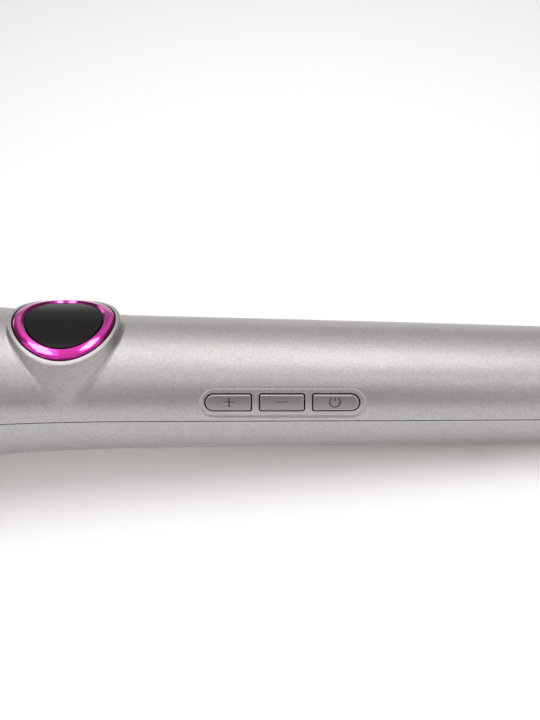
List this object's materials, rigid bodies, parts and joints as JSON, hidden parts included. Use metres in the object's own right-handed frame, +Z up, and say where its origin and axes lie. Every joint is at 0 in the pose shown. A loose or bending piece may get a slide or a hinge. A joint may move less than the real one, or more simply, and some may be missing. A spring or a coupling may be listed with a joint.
{
  "type": "conical curling iron",
  "caption": "Clipless conical hair curling wand with a two-shell handle, round display, side keys, flip-out stand, cool tip and turning cord gland.",
  "frame": {"origin": "on the surface the iron stands on, under the middle of its box, with the stand open", "axes": "+X towards the cord end of the handle (the cone points to -X, raised by the stand), +Y to the side away from the keys, +Z up"},
  "size_m": [0.406, 0.0434, 0.0561],
  "materials": {
    "silver_paint": "satin metallic paint on moulded plastic, fine flake",
    "magenta_chrome": "bright tinted chrome plating",
    "black_gloss": "polished",
    "black_plastic": "moulded",
    "display_glass": "polished",
    "polyimide": "film",
    "key_silver": "satin metallic paint on moulded plastic",
    "white_plastic": "moulded",
    "circuit_board": "solder mask",
    "steel_screw": "zinc plated",
    "heat_plastic": "fine spark texture",
    "silicone": "matt",
    "ceramic_coat": "satin black ceramic coating, fine sparkle",
    "heater_ceramic": "fired ceramic",
    "aluminium": "extruded",
    "brass_metal": "plain",
    "gland_plastic": "moulded",
    "silicone_wire": "matt"
  },
  "bodies": {
    "root": {"upper_shell": "silver_paint", "lower_shell": "silver_paint", "display_bezel": "magenta_chrome", "display_window": "black_gloss", "display_holder": "black_plastic", "display_module": "display_glass", "display_flex": "polyimide", "tact_switches": "black_plastic", "key_board": "circuit_board", "key_board_screws": "steel_screw", "control_board": "circuit_board", "board_components": "black_plastic", "board_screws": "steel_screw", "case_screws": "steel_screw", "heat_collar": "heat_plastic", "stand_pin": "steel_screw", "barrel": "ceramic_coat", "barrel_holder": "heat_plastic", "holder_screws": "steel_screw", "heater_plate": "heater_ceramic", "heat_spreader_upper": "aluminium", "heat_spreader_lower": "aluminium", "thermistor": "display_glass", "thermal_fuse": "brass_metal", "tip_plug": "heat_plastic", "cool_tip": "heat_plastic", "tip_screw": "steel_screw", "swivel_bush": "white_plastic", "contact_block": "white_plastic", "contact_springs": "brass_metal", "heater_leads": "silicone_wire", "mains_leads": "silicone_wire"},
    "plus_key": {"plus_button": "key_silver", "plus_plunger": "white_plastic"},
    "minus_key": {"minus_button": "key_silver", "minus_plunger": "white_plastic"},
    "power_key": {"power_button": "key_silver", "power_plunger": "white_plastic"},
    "stand": {"stand_foot": "heat_plastic", "stand_pad": "silicone"},
    "cord_swivel": {"swivel_gland": "gland_plastic", "swivel_spindle": "gland_plastic", "slip_rings": "brass_metal"}
  },
  "joints": [
    {"name": "plus_press", "type": "slide", "parent": "root", "child": "plus_key", "axis": [-0.0477, 0.9459, -0.321], "range_m": [0, 0.0005], "stiffness_N_per_m": 300, "springref_m": -0.001},
    {"name": "minus_press", "type": "slide", "parent": "root", "child": "minus_key", "axis": [-0.0477, 0.9459, -0.321], "range_m": [0, 0.0005], "stiffness_N_per_m": 300, "springref_m": -0.001},
    {"name": "power_press", "type": "slide", "parent": "root", "child": "power_key", "axis": [-0.0477, 0.9459, -0.321], "range_m": [0, 0.0005], "stiffness_N_per_m": 300, "springref_m": -0.001},
    {"name": "stand_hinge", "type": "hinge", "parent": "root", "child": "stand", "pos_m": [-0.01603, 0, 0.0113], "axis": [0, 1, 0], "range_deg": [-118, 0]},
    {"name": "cord_turn", "type": "hinge", "parent": "root", "child": "cord_swivel", "pos_m": [0.18898, 0, 0.0146], "axis": [0.9964, 0, -0.0845], "continuous": true}
  ]
}
